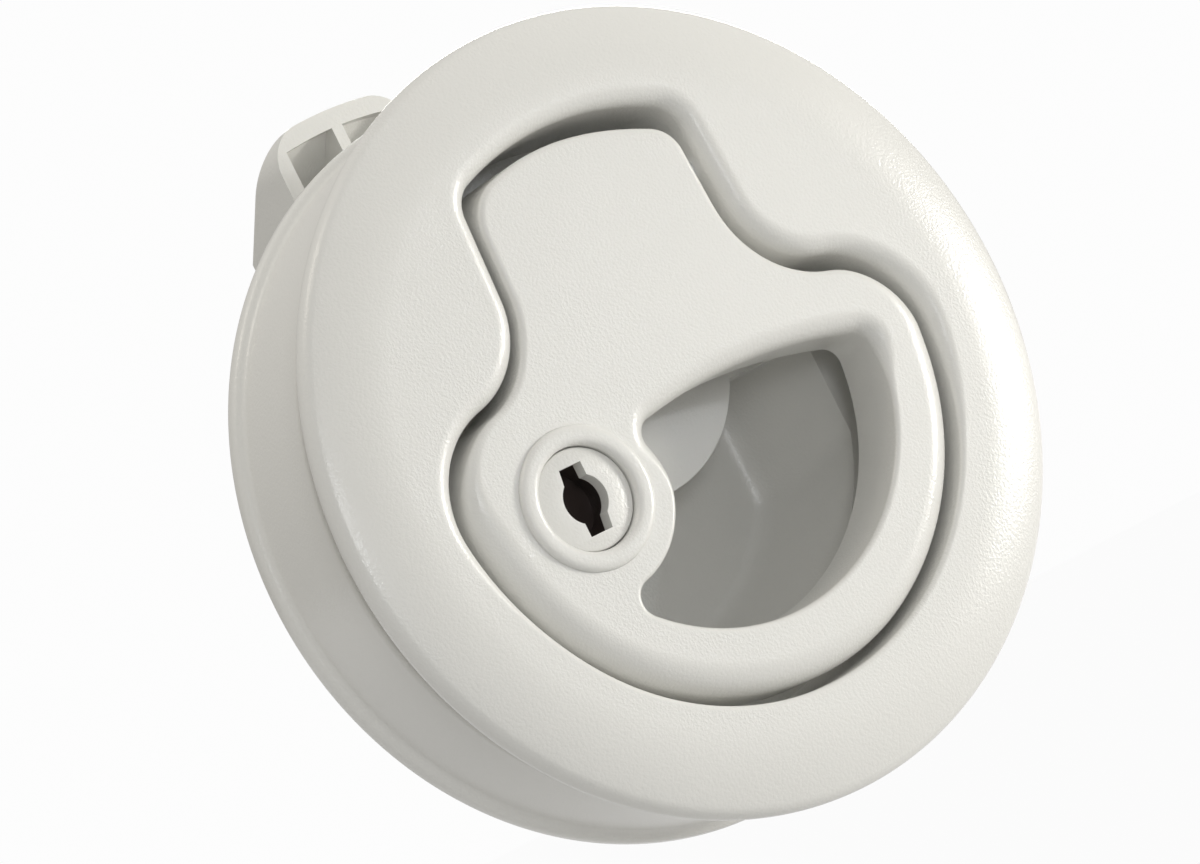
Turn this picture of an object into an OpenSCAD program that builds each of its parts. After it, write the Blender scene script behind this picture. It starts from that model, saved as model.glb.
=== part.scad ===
// Round flush pull latch with key lock and a spring bolt behind the panel, all sizes in millimetres.
// X is to the right, +Y goes into the panel, +Z points to the bolt; the origin is on the panel face.

/* [Bezel] */
// outer radius of the round front bezel
bezel_r = 31.5; // [29:0.5:36]
// distance from the panel face to the flat of the front
face_h = 3.6; // [3:0.2:5]
// radius of the flat part of the front face
face_flat_r = 25.2; // [24.8:0.1:26]
// radius of the front's fall towards the rim
dome_r = 14.9; // [13:0.1:18]
// radius of the rounding on the rim
rim_r = 1.2; // [0.8:0.1:1.3]

/* [Barrel] */
// how far the thread crests of the barrel stand outside the recess wall
barrel_over = 2; // [1.8:0.1:2.6]
// wall of the barrel
barrel_wall = 2.4; // [2:0.1:3]
// length of the barrel behind the panel face
barrel_len = 21.4; // [20.8:0.1:22]
// pitch of the barrel thread, drawn as rings
thread_pitch = 2.5; // [2:0.25:3]
// height of that thread
thread_h = 0.5; // [0.4:0.05:0.6]

/* [Recess] */
// radius of the wide round part of the recess
recess_r = 22.8; // [22:0.1:23]
// height of the middle of that round part
recess_z = -0.6; // [-1:0.1:0]
// radius of the shoulders
shoulder_r = 8; // [7:0.2:9]
// radius of the hollow necks
neck_r = 7.3; // [6.5:0.1:8]
// half width of the tab recess near its top
tab_half = 10.5; // [10:0.1:11]
// flare of the tab sides in degrees
tab_flare = 3; // [1:0.5:5]
// radius of the top edge of the recess about the latch axis
recess_top_r = 23.2; // [23:0.1:23.6]
// rounding of the recess lip around the tab
lip_top_r = 1.5; // [1:0.1:1.7]
// rounding of the recess lip at the bottom
lip_low_r = 0.4; // [0.3:0.1:1]
// depth of the recess floor behind the panel face
floor_y = 7.5; // [7:0.1:8.5]
// thickness of the recess floor and its walls
skin = 2; // [1.6:0.1:2.2]

/* [Finger cup] */
// depth of the cup floor behind the panel face
cup_y = 16.4; // [15:0.2:17]
// radius of the cup at the recess floor
cup_top_r = 20; // [19.6:0.1:20.4]
// radius of the cup at its own floor
cup_low_r = 17; // [16.6:0.1:17.4]
// distance of the sloping right wall from the axis at the recess floor
cup_top_x = 18.7; // [18:0.1:19]
// distance of the sloping right wall from the axis at the cup floor
cup_low_x = 14.3; // [13.8:0.1:15]
// height of the top of the cup
cup_z = 0.7; // [0:0.1:0.8]

/* [Handle] */
// gap between the handle and the recess wall
gap = 0.9; // [0.7:0.05:1.1]
// extra gap at the top of the tab
tab_gap = 0.6; // [0.5:0.1:0.8]
// rounding of the handle's front edge around the tab
handle_top_r = 0.5; // [0.4:0.1:1]
// rounding of the handle's front edge at the bottom
handle_low_r = 2.2; // [1.6:0.1:2.4]
// thickness of the handle plate
handle_t = 6.3; // [6:0.1:6.6]
// rounding of the finger hole's top edge
hole_top_r = 1.6; // [1:0.1:1.8]
// rounding of the finger hole's bottom edge
hole_low_r = 0.4; // [0.3:0.1:1]

/* [Handle pivot] */
// distance of the pivot pin below the top edge of the recess
pin_drop = 7.2; // [7:0.1:7.4]
// depth of the pivot pin behind the panel face
pin_y = -0.4; // [-0.5:0.05:-0.2]
// radius of the pivot pin
pin_r = 1; // [0.9:0.05:1.1]
// running clearance of the pin in the handle
pin_clear = 0.05; // [0.02:0.01:0.08]
// length of the drive arm behind the pivot
arm_len = 15.4; // [14.6:0.1:15.8]
// swing of the handle in degrees
handle_swing = 32; // [28:1:33]

/* [Lock] */
// lock centre to the right of the latch axis
lock_x = -12.4; // [-12.6:0.1:-12.2]
// lock centre above the latch axis
lock_z = -3.2; // [-3.6:0.1:-2.8]
// radius of the lock collar
collar_r = 5.6; // [5.4:0.1:5.8]
// height of the collar above the handle face
collar_up = 0.5; // [0.3:0.1:0.7]
// radius of the lock plug
plug_r = 4; // [3.8:0.1:4.1]
// depth of the plug face below the collar face
plug_in = 0.7; // [0.4:0.1:1]
// width of the key slot
slot_w = 2; // [1.6:0.1:2.2]
// length of the key slot
slot_l = 5.4; // [5:0.1:5.8]
// radius of the round middle of the keyhole
keyhole_r = 1.9; // [1.6:0.1:2]
// reach of the lock cam from the lock centre
cam_len = 8.4; // [7.5:0.1:8.8]

/* [Clamp ring] */
// distance from the panel face to the front of the ring
ring_y = 3.2; // [2.6:0.1:4]
// length of the ring
ring_len = 10.8; // [9:0.1:12]
// wall of the ring outside the thread
ring_wall = 4.1; // [3.2:0.1:4.6]
// height of the lip at the rear of the ring
ring_lip = 0.8; // [0.5:0.1:1.2]
// length of that lip
ring_lip_len = 1.7; // [1.2:0.1:2.5]

/* [Bolt] */
// depth of the bolt's flat front face
bolt_y = 25.4; // [25.3:0.05:25.6]
// thickness of the bolt
bolt_t = 10.5; // [10:0.1:10.8]
// half width of the bolt
bolt_half = 6.5; // [6.2:0.1:6.8]
// radius of the bolt's nose about the latch axis
nose_r = 34.2; // [33:0.2:35]
// height of the bolt's lower end
bolt_bottom = -3; // [-3.4:0.1:-2.6]
// slope of the slam face, depth per height
slam_slope = 1.21; // [1:0.05:1.4]
// thickness of the nose at its tip
nose_tip = 0.9; // [0.6:0.1:1.2]
// wall of the hollow bolt
bolt_wall = 1.3; // [1.1:0.1:1.5]
// thickness of the rib in the bolt
bolt_rib = 1; // [0.8:0.1:1.2]
// sliding clearance around the bolt
slide_clear = 0.2; // [0.15:0.05:0.25]

/* [Rear cover] */
// radius of the cover
cover_r = 22.5; // [22.3:0.1:22.8]
// height of the top of the bolt guide
guide_top = 14; // [12:0.5:15]
// wall of the bolt guide
guide_wall = 2; // [1.6:0.1:2.2]

/* [Springs] */
// wire radius of the bolt springs
wire_r = 0.35; // [0.3:0.05:0.4]
// mean radius of the bolt springs
coil_r = 1.75; // [1.6:0.05:1.85]
// distance of the bolt springs from the middle
spring_x = 3.1; // [3:0.05:3.2]
// wire radius of the handle spring
twist_wire_r = 0.3; // [0.25:0.05:0.35]

/* [Output] */
// sub-part to draw

/* [Hidden] */
$fn = 96;
over = 1;
thin_clear = 0.02;
round_from = 14;
flare_up = 0.3;
face_y = -face_h;
barrel_r = max(recess_top_r, recess_r - recess_z) + barrel_over;
ring_r = barrel_r + ring_wall;
pin_z = recess_top_r - pin_drop;
handle_back = face_y + handle_t;
swing_half = handle_swing / 2;
bolt_travel = 2 * arm_len * sin(swing_half);

// the tab sides, shoulders and necks of the T-shaped outline, left half
tab_ref_z = recess_top_r - 5.2;
shoulder_turn = 185;
corner_r = 2.6;
handle_corner_r = 4.2;
lip_span = [-14, 2];
handle_span = [-4, 7];
hole_span = [-6, -0.5];
side_p = [-tab_half, tab_ref_z];
side_dir = [-sin(tab_flare), -cos(tab_flare)];
side_out = [-cos(tab_flare), sin(tab_flare)];
shoulder_c = [0, recess_z] + (recess_r - shoulder_r) * [cos(shoulder_turn), sin(shoulder_turn)];
neck_c = line_hit(side_p + side_out * neck_r, side_dir, shoulder_c, shoulder_r + neck_r);
neck_end = angle_of(shoulder_c - neck_c);

// the finger hole in the handle
hole_c = [0, -0.3];
hole_r = 17.2;
brow_c = [4.5, -43];
brow_r = 44;
bite_r = 7.5;
hole_corner_r = 1.5;
lock_c = [lock_x, lock_z];
hole_right_c = ring_hit(brow_c, brow_r - hole_corner_r, hole_c, hole_r - hole_corner_r, -1);
hole_left_c = ring_hit(brow_c, brow_r - hole_corner_r, lock_c, bite_r + hole_corner_r, -1);
hole_low_c = ring_hit(hole_c, hole_r - hole_corner_r, lock_c, bite_r + hole_corner_r, 1);

// the lock
collar_body_r = plug_r + 1;
collar_seat = 1;
collar_front = face_y - collar_up;
plug_front = collar_front + plug_in;
collar_back = handle_back + 0.2;
plug_back = collar_back + 0.3;
cam_t = 1.2;
cam_hub_r = 3.4;
cam_half = 2.2;
cam_square = 3.4;
cam_screw_head_r = 2.2;
cam_screw_head = 1.2;
cam_screw_r = 0.9;
cam_screw_len = 2.6;
key_plate = 1.2;
key_room_r = 2.9;
keyhole_depth = 4.4;
turn_clear = 0.05;

// the shelf that stands over the cup
shelf_c = [1, 5.7];
shelf_r = 11;

// the handle's pivot
pocket_x0 = 4.2;
pocket_x1 = 8.2;
pocket_r = 2.3;
arm_half = 3;
arm_thick_r = 1.7;
arm_neck = 1.4;
arm_gap = 0.3;
pin_half = tab_half + 1.2;
pin_end = 0.1;
arm_tip_y = pin_y + arm_len * cos(swing_half);
arm_tip_z = pin_z + arm_len * sin(swing_half);

// the bolt, the post that the arm pushes, and the guide
post_top = arm_tip_z - arm_thick_r - arm_gap;
post_h = 6;
post_half = 4.2;
post_y = arm_tip_y - 1.2;
post_clear = 0.6;
chamber_half = post_half + 0.8;
chamber_top = recess_top_r - 0.7;
chamber_low = post_top - post_h - bolt_travel - post_clear;
hatch_low = pin_z - 7.5;
lug_h = 5;
lug_half = bolt_half + 1.2;
bolt_back = bolt_y + bolt_t;
cover_back = bolt_y - slide_clear;
guide_back = bolt_back + slide_clear;
guide_low = bolt_bottom - bolt_travel - 0.4;
stop_z = bolt_bottom + lug_h + slide_clear;
guide_half = lug_half + slide_clear + guide_wall;
guide_edge_r = 2.5;
pocket_low = 21;
nose_wall = 1.5;
nose_corner_r = 3.4;
spring_y = bolt_y + bolt_t / 2;
spring_depth = 11;
spring_top = bolt_bottom + spring_depth;
spring_clear = 0.3;
spring_hole_r = coil_r + wire_r + spring_clear;

// the fixings of the rear cover
screw_at = [[16.5, 6], [-16.5, 6], [13.4, -14.4], [-13.4, -14.4]];
screw_r = 1.1;
screw_len = 7;
screw_head_r = 2.3;
screw_head = 1.8;
screw_edge = 0.6;
screw_boss_r = 2.6;
screw_clear = 0.15;

function angle_of(v) = atan2(v[1], v[0]);
function dot(a, b) = a[0] * b[0] + a[1] * b[1];

// first point of a line that lies at a distance from a centre
function line_hit(p, dir, c, dist) =
    let (a = p - c, b = dot(a, dir))
    p + dir * (-b - sqrt(b * b - dot(a, a) + dist * dist));

// point where two circles meet, on one side of the line between their centres
function ring_hit(a, ra, b, rb, side) =
    let (v = b - a, d = norm(v), t = (ra * ra - rb * rb + d * d) / (2 * d), h = sqrt(ra * ra - t * t))
    a + v * (t / d) + [-v[1], v[0]] * (side * h / d);

// points on an arc after its first point
function arc(c, r, from, to, n) =
    [for (i = [1 : n]) let (t = from + (to - from) * i / n) c + r * [cos(t), sin(t)]];

// left half of the T-shaped outline at an offset, from the top middle to the bottom middle
function half_outline(d, top_r, turn_r) =
    let (k = line_hit(side_p - side_out * turn_r, side_dir, [0, 0], top_r - turn_r), ka = angle_of(k))
    concat(
        arc([0, 0], top_r + d, 90, ka, 5),
        arc(k, turn_r + d, ka, 180 - tab_flare, 5),
        [neck_c + (neck_r - d) * [cos(tab_flare), -sin(tab_flare)]],
        arc(neck_c, neck_r - d, -tab_flare, neck_end, 8),
        arc(shoulder_c, shoulder_r + d, 180 + neck_end, shoulder_turn, 8),
        arc([0, recess_z], recess_r + d, shoulder_turn, 270, 15));

// the whole T-shaped outline at an offset
function t_outline(d, top_r, turn_r) =
    let (half = half_outline(d, top_r, turn_r), n = len(half))
    concat(half, [for (i = [n - 2 : -1 : 0]) [-half[i][0], half[i][1]]], [[0, top_r + d]]);

// the outline of the finger hole at an offset
function hole_outline(d) =
    let (r = hole_corner_r + d,
         right_in = angle_of(hole_right_c - hole_c), right_out = angle_of(hole_right_c - brow_c),
         left_in = angle_of(hole_left_c - brow_c),
         left_out = up_to(angle_of(lock_c - hole_left_c), left_in),
         low_in = angle_of(lock_c - hole_low_c), low_out = angle_of(hole_low_c - hole_c))
    concat(
        arc(hole_right_c, r, right_in, right_out, 4),
        arc(brow_c, brow_r + d, right_out, left_in, 5),
        arc(hole_left_c, r, left_in, left_out, 4),
        arc(lock_c, bite_r - d, left_out - 180, low_in - 180, 6),
        arc(hole_low_c, r, low_in, up_to(low_out, low_in), 4),
        arc(hole_c, hole_r + d, low_out, up_to(right_in, low_out), 18));

// the angles of a rounding that leaves the front face, and its offset a little above that face
function round_steps(n) = [for (i = [0 : n]) round_from + (90 - round_from) * i / n];
function flare(r) = r * (1 - sin(round_from)) + (r * (1 - cos(round_from)) + flare_up) / tan(round_from);

// an angle raised by whole turns above another
function up_to(a, b) = a < b ? up_to(a + 360, b) : a;

// a radius that goes smoothly from its low value to its high one over a span of heights
function eased(z, span, low, high) =
    let (t = max(0, min(1, (z - span[0]) / (span[1] - span[0]))))
    low + (high - low) * t * t * (3 - 2 * t);

// the point at an offset from p, counted in steps from p to q, at a depth
function place(p, q, offset, y) =
    let (v = p + (q - p) * offset)
    [v[0], y, v[1]];

// rings of an edge rounded at the front face, each point with its own radius: away is 1 for an opening
// that widens to the front, and -1 for a solid that narrows
function edge_rings(base, out, radii, inset, away, last_y) =
    let (n = len(base) - 1)
    concat(
        [[for (i = [0 : n]) place(base[i], out[i], inset + away * flare(radii[i]), face_y - flare_up)]],
        [for (t = round_steps(4)) [for (i = [0 : n])
            place(base[i], out[i], inset + away * radii[i] * (1 - sin(t)), face_y + radii[i] * (1 - cos(t)))]],
        [[for (i = [0 : n]) place(base[i], out[i], inset, last_y)]]);

// a solid through rings of points
module skinned(rings) {
    n = len(rings[0]);
    m = len(rings);
    points = [for (ring = rings) for (p = ring) p];
    lower = [for (j = [0 : m - 2]) for (i = [0 : n - 1])
        let (k = (i + 1) % n) [j * n + i, j * n + k, (j + 1) * n + k]];
    upper = [for (j = [0 : m - 2]) for (i = [0 : n - 1])
        let (k = (i + 1) % n) [j * n + i, (j + 1) * n + k, (j + 1) * n + i]];
    first = [[for (i = [n - 1 : -1 : 0]) i]];
    last = [[for (i = [0 : n - 1]) (m - 1) * n + i]];
    polyhedron(points, concat(first, lower, upper, last));
}

// a flat outline drawn in X and Z, carried from one depth to another
module face_prism(y0, y1) {
    translate([0, y1, 0])
        rotate([90, 0, 0])
            linear_extrude(y1 - y0)
                children();
}

// a section drawn as radius and depth, turned about the latch axis
module turned() {
    rotate([-90, 0, 0])
        rotate_extrude()
            children();
}

module cyl_y(r, y0, y1, at) {
    translate([at[0], y0, at[1]])
        rotate([-90, 0, 0])
            cylinder(r = r, h = y1 - y0);
}

module cyl_x(r, x0, x1, y, z) {
    translate([x0, y, z])
        rotate([0, 90, 0])
            cylinder(r = r, h = x1 - x0);
}

module box(x0, x1, y0, y1, z0, z1) {
    translate([x0, y0, z0])
        cube([x1 - x0, y1 - y0, z1 - z0]);
}

// a square with rounded ends on its far side
module round_guide(half, y0, y1, r) {
    translate([-half, y0])
        square([2 * half, y1 - y0 - r]);
    translate([-half + r, y0])
        square([2 * (half - r), y1 - y0]);
    for (s = [-1, 1])
        translate([s * (half - r), y1 - r])
            circle(r);
}

// the coil of a spring about Z, as a closed tube
module coil(mean_r, wire, z0, z1, turns) {
    steps = 14;
    sides = 6;
    n = round(turns * steps);
    rise = (z1 - z0 - 2 * wire) / n;
    rings = [for (i = [0 : n]) [for (j = [0 : sides - 1])
        let (a = 360 * i / steps, b = 360 * j / sides, r = mean_r + wire * cos(b))
        [r * cos(a), r * sin(a), z0 + wire + rise * i + wire * sin(b)]]];
    points = [for (ring = rings) for (p = ring) p];
    skin_faces = [for (i = [0 : n - 1]) for (j = [0 : sides - 1])
        let (k = (j + 1) % sides)
        [i * sides + j, (i + 1) * sides + j, (i + 1) * sides + k, i * sides + k]];
    first = [[for (j = [0 : sides - 1]) j]];
    last = [[for (j = [sides - 1 : -1 : 0]) n * sides + j]];
    polyhedron(points, concat(first, skin_faces, last));
}

// the recess with its rounded lip
module recess_cut() {
    base = t_outline(0, recess_top_r, corner_r);
    out = t_outline(1, recess_top_r, corner_r);
    radii = [for (p = base) eased(p[1], lip_span, lip_low_r, lip_top_r)];
    intersection() {
        skinned(edge_rings(base, out, radii, 0, 1, floor_y + over));
        box(-bezel_r, bezel_r, face_y - over, floor_y, -bezel_r, bezel_r);
    }
}

// the finger cup under the recess floor, with a sloping right wall
module finger_cup(y0, grow) {
    deep = cup_y - floor_y;
    up = (floor_y - y0) / deep;
    y1 = cup_y + grow;
    down = (y1 - floor_y) / deep;
    r0 = cup_top_r + (cup_top_r - cup_low_r) * up + grow;
    r1 = cup_top_r - (cup_top_r - cup_low_r) * down + grow;
    x0 = cup_top_x + (cup_top_x - cup_low_x) * up + grow;
    x1 = cup_top_x - (cup_top_x - cup_low_x) * down + grow;
    difference() {
        intersection() {
            translate([0, y0, 0])
                rotate([-90, 0, 0])
                    cylinder(r1 = r0, r2 = r1, h = y1 - y0);
            translate([0, 0, -bezel_r])
                linear_extrude(bezel_r + cup_z + grow)
                    polygon([[-bezel_r, y0 - over], [x0, y0], [x1, y1], [-bezel_r, y1 + over]]);
        }
        cyl_y(shelf_r - grow, y0 - over, y1 + over, shelf_c);
        cyl_y(bite_r - grow, y0 - over, y1 + over, lock_c);
    }
}

// radius and depth of the front, from the flat over the fall to the rim
function front_profile() =
    let (run = bezel_r - rim_r - face_flat_r,
         fall_c = [face_flat_r, face_y + dome_r],
         rim_c = [bezel_r - rim_r, fall_c[1] - sqrt((dome_r - rim_r) * (dome_r - rim_r) - run * run)],
         turn = angle_of(rim_c - fall_c))
    concat(
        [[0, face_y], [face_flat_r, face_y]],
        arc(fall_c, dome_r, -90, turn, 6),
        arc(rim_c, rim_r, turn, 60, 10));

module front_and_barrel() {
    crest = 0.3;
    foot = 0.9;
    root_r = barrel_r - thread_h;
    turned()
        difference() {
            union() {
                polygon(concat(front_profile(), [[bezel_r - rim_r, 0], [0, 0]]));
                square([root_r, barrel_len]);
                for (y = [thread_pitch : thread_pitch : barrel_len - thread_pitch])
                    polygon([[root_r - over / 2, y - foot], [root_r, y - foot], [barrel_r, y - crest],
                             [barrel_r, y + crest], [root_r, y + foot], [root_r - over / 2, y + foot]]);
            }
            square([barrel_r - barrel_wall, barrel_len + over]);
            translate([-over, face_y - over])
                square([over, face_h + barrel_len + 2 * over]);
        }
}

// everything moulded inside the barrel
module inner_walls() {
    face_prism(-over, floor_y + skin)
        polygon(t_outline(skin, recess_top_r, corner_r));
    box(-chamber_half - skin, chamber_half + skin, floor_y, barrel_len, chamber_low - skin, chamber_top + skin);
    for (at = screw_at)
        cyl_y(screw_boss_r, 0, barrel_len, at);
}

module housing() {
    color([0.90, 0.89, 0.86])
        difference() {
            union() {
                front_and_barrel();
                finger_cup(floor_y, skin);
                intersection() {
                    inner_walls();
                    cyl_y(barrel_r - barrel_wall / 2, -2 * over, barrel_len, [0, 0]);
                }
            }
            recess_cut();
            finger_cup(floor_y - over, 0);
            box(-chamber_half, chamber_half, floor_y - over, barrel_len + over, hatch_low, chamber_top);
            box(-chamber_half, chamber_half, floor_y + skin, barrel_len + over, chamber_low, chamber_top);
            cyl_x(pin_r + thin_clear, -pin_half - pin_end, pin_half + pin_end, pin_y, pin_z);
            for (at = screw_at)
                cyl_y(screw_r + thin_clear, barrel_len - screw_len, barrel_len + over, at);
        }
}

module clamp_ring() {
    bore_r = barrel_r + 0.1;
    lip_y = ring_y + ring_len - ring_lip_len;
    edge = 0.5;
    color([0.88, 0.87, 0.84])
        difference() {
            turned()
                polygon([[bore_r, ring_y], [ring_r - edge, ring_y], [ring_r, ring_y + edge], [ring_r, lip_y],
                         [ring_r + ring_lip, lip_y + ring_lip / 2],
                         [ring_r + ring_lip, ring_y + ring_len - edge],
                         [ring_r + ring_lip - edge, ring_y + ring_len], [bore_r, ring_y + ring_len]]);
            for (a = [0 : 90 : 270])
                rotate([0, 45 + a, 0])
                    box(-2, 2, ring_y + ring_len - 2, ring_y + ring_len + over, bore_r - over, ring_r - 1.5);
        }
}

module rear_cover() {
    low = guide_low - guide_wall;
    color([0.84, 0.83, 0.80])
        difference() {
            union() {
                cyl_y(cover_r, barrel_len, cover_back, [0, 0]);
                translate([0, 0, low])
                    linear_extrude(guide_top - low)
                        round_guide(guide_half, barrel_len, guide_back + guide_wall, guide_edge_r);
            }
            box(-bolt_half - slide_clear, bolt_half + slide_clear, cover_back, guide_back, guide_low, nose_r);
            box(-lug_half - slide_clear, lug_half + slide_clear, cover_back, guide_back, guide_low, stop_z);
            box(-chamber_half, chamber_half, barrel_len - over, cover_back + over, chamber_low,
                post_top + post_clear);
            for (at = screw_at)
                cyl_y(screw_r + screw_clear, barrel_len - over, cover_back + over, at);
        }
}

module cover_screw() {
    slot = 0.7;
    slot_depth = 1;
    reach = 1.5;
    head_y = cover_back + screw_head;
    difference() {
        union() {
            cyl_y(screw_r, barrel_len - screw_len + 0.5, cover_back, [0, 0]);
            turned()
                polygon([[0, cover_back], [screw_head_r, cover_back], [screw_head_r, head_y - screw_edge],
                         [screw_head_r - screw_edge, head_y], [0, head_y]]);
        }
        for (a = [0, 90])
            rotate([0, a, 0])
                box(-reach, reach, head_y - slot_depth, head_y + over, -slot / 2, slot / 2);
    }
}

module cover_screws() {
    color([0.72, 0.73, 0.75])
        for (at = screw_at)
            translate([at[0], 0, at[1]])
                cover_screw();
}

module handle_pin() {
    color([0.75, 0.76, 0.78])
        cyl_x(pin_r, -pin_half, pin_half, pin_y, pin_z);
}

module handle_plate() {
    top_r = recess_top_r - tab_gap;
    base = t_outline(0, top_r, handle_corner_r);
    out = t_outline(1, top_r, handle_corner_r);
    radii = [for (p = base) eased(p[1], handle_span, handle_low_r, handle_top_r)];
    intersection() {
        skinned(edge_rings(base, out, radii, -gap, -1, handle_back + over));
        box(-bezel_r, bezel_r, face_y, handle_back, -bezel_r, bezel_r);
    }
}

module finger_hole() {
    base = hole_outline(0);
    out = hole_outline(1);
    radii = [for (p = base) eased(p[1], hole_span, hole_low_r, hole_top_r)];
    skinned(edge_rings(base, out, radii, 0, 1, handle_back + over));
}

module handle() {
    color([0.92, 0.91, 0.88])
        difference() {
            union() {
                difference() {
                    handle_plate();
                    finger_hole();
                }
                translate([0, pin_y, pin_z])
                    rotate([swing_half, 0, 0]) {
                        box(-arm_half, arm_half, 0, arm_len, -arm_neck, arm_neck);
                        cyl_x(arm_thick_r, -arm_half, arm_half, arm_len, 0);
                    }
            }
            cyl_x(pin_r + pin_clear, -tab_half, tab_half, pin_y, pin_z);
            box(pocket_x0, pocket_x1, pin_y - pocket_r, handle_back + over, pin_z - pocket_r, pin_z + pocket_r);
            cyl_y(collar_body_r + thin_clear, face_y - over, handle_back + over, lock_c);
            cyl_y(collar_r + thin_clear, face_y - over, face_y + collar_seat, lock_c);
        }
}

module handle_spring() {
    turns = 3;
    side_gap = 0.4;
    mean_r = pin_r + pin_clear + spring_clear + twist_wire_r;
    color([0.70, 0.71, 0.74])
        translate([pocket_x0 + side_gap, pin_y, pin_z])
            rotate([0, 90, 0])
                coil(mean_r, twist_wire_r, 0, pocket_x1 - pocket_x0 - 2 * side_gap, turns);
}

module lock_collar() {
    edge = 0.5;
    color([0.90, 0.89, 0.86])
        translate([lock_x, 0, lock_z])
            turned()
                polygon([[plug_r + turn_clear, collar_front + 0.4], [plug_r + turn_clear + 0.4, collar_front],
                         [collar_r - edge, collar_front], [collar_r, collar_front + edge],
                         [collar_r, face_y + collar_seat], [collar_body_r, face_y + collar_seat],
                         [collar_body_r, collar_back], [plug_r + turn_clear, collar_back]]);
}

module lock_plug() {
    color([0.91, 0.90, 0.87])
        difference() {
            union() {
                cyl_y(plug_r, plug_front, plug_back, lock_c);
                translate([lock_x, 0, lock_z])
                    box(-cam_square / 2, cam_square / 2, plug_back - over, plug_back + cam_t - thin_clear,
                        -cam_square / 2, cam_square / 2);
            }
            cyl_y(keyhole_r, plug_front - over, plug_front + key_plate + over, lock_c);
            cyl_y(key_room_r, plug_front + key_plate, plug_front + keyhole_depth, lock_c);
            translate([lock_x, 0, lock_z])
                box(-slot_w / 2, slot_w / 2, plug_front - over, plug_front + key_plate + over, -slot_l / 2,
                    slot_l / 2);
            cyl_y(cam_screw_r + thin_clear, plug_back + cam_t - cam_screw_len, plug_back + cam_t + over, lock_c);
        }
}

module lock_cam() {
    hole = cam_square / 2 + thin_clear;
    color([0.73, 0.74, 0.76])
        difference() {
            union() {
                cyl_y(cam_hub_r, plug_back, plug_back + cam_t, lock_c);
                cyl_y(cam_half, plug_back, plug_back + cam_t, lock_c + [0, cam_len - cam_half]);
                translate([lock_x, 0, lock_z])
                    box(-cam_half, cam_half, plug_back, plug_back + cam_t, 0, cam_len - cam_half);
            }
            translate([lock_x, 0, lock_z])
                box(-hole, hole, plug_back - over, plug_back + cam_t + over, -hole, hole);
        }
}

module cam_screw() {
    seat = plug_back + cam_t;
    slot = 0.6;
    color([0.72, 0.73, 0.75])
        difference() {
            union() {
                cyl_y(cam_screw_r, seat - cam_screw_len + 0.3, seat + 0.1, lock_c);
                cyl_y(cam_screw_head_r, seat, seat + cam_screw_head, lock_c);
            }
            translate([lock_x, 0, lock_z])
                box(-cam_screw_head_r - over, cam_screw_head_r + over, seat + 0.6, seat + cam_screw_head + over,
                    -slot / 2, slot / 2);
        }
}

// the bolt seen from the front, with a rounded nose
module bolt_plan() {
    corner_x = bolt_half - nose_corner_r;
    reach = nose_r - nose_corner_r;
    corner_z = sqrt(reach * reach - corner_x * corner_x);
    intersection() {
        translate([-bolt_half, bolt_bottom])
            square([2 * bolt_half, nose_r - bolt_bottom]);
        union() {
            circle(nose_r, $fn = 180);
            translate([-bolt_half, bolt_bottom])
                square([2 * bolt_half, -bolt_bottom]);
        }
        union() {
            translate([-bolt_half, bolt_bottom])
                square([2 * bolt_half, corner_z - bolt_bottom]);
            translate([-corner_x, bolt_bottom])
                square([2 * corner_x, nose_r - bolt_bottom]);
            for (s = [-1, 1])
                translate([s * corner_x, corner_z])
                    circle(nose_corner_r);
        }
    }
}

// the side of the bolt with its slam face, moved in by a wall thickness
module bolt_side(wall, low) {
    tip_y = bolt_y + nose_tip - wall * sqrt(1 + slam_slope * slam_slope) + (wall > 0 ? wall * 0.3 : 0);
    foot_z = nose_r - (bolt_back - wall - tip_y) / slam_slope;
    polygon([[bolt_y - (wall > 0 ? over : 0), low], [bolt_back - wall, low], [bolt_back - wall, foot_z],
             [tip_y, nose_r], [bolt_y - (wall > 0 ? over : 0), nose_r]]);
}

// a side view drawn in Y and Z, carried across the width
module across(x0, x1) {
    translate([x0, 0, 0])
        rotate([90, 0, 90])
            linear_extrude(x1 - x0)
                children();
}

module bolt() {
    inner = bolt_half - bolt_wall;
    color([0.90, 0.89, 0.86])
        difference() {
            union() {
                intersection() {
                    face_prism(bolt_y, bolt_back)
                        bolt_plan();
                    across(-bolt_half, bolt_half)
                        bolt_side(0, bolt_bottom);
                }
                box(-lug_half, lug_half, bolt_y, bolt_back, bolt_bottom, bolt_bottom + lug_h);
                box(-post_half, post_half, post_y, bolt_y + over, post_top - post_h, post_top);
            }
            intersection() {
                union() {
                    across(-inner, -bolt_rib / 2)
                        bolt_side(bolt_wall, pocket_low);
                    across(bolt_rib / 2, inner)
                        bolt_side(bolt_wall, pocket_low);
                }
                cyl_y(nose_r - nose_wall, bolt_y - over, bolt_back, [0, 0]);
            }
            for (s = [-1, 1])
                translate([s * spring_x, spring_y, bolt_bottom - over])
                    cylinder(r = spring_hole_r, h = spring_depth + spring_clear + over);
        }
}

module bolt_spring(side) {
    turns = 9;
    color([0.70, 0.71, 0.74])
        translate([side * spring_x, spring_y, 0])
            coil(coil_r, wire_r, guide_low + thin_clear, spring_top, turns);
}

module bolt_spring_left() {
    bolt_spring(-1);
}

module bolt_spring_right() {
    bolt_spring(1);
}

housing();
clamp_ring();
rear_cover();
cover_screws();
handle_pin();
handle_spring();
handle();
lock_collar();
lock_plug();
lock_cam();
cam_screw();
bolt();
bolt_spring_left();
bolt_spring_right();
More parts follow.
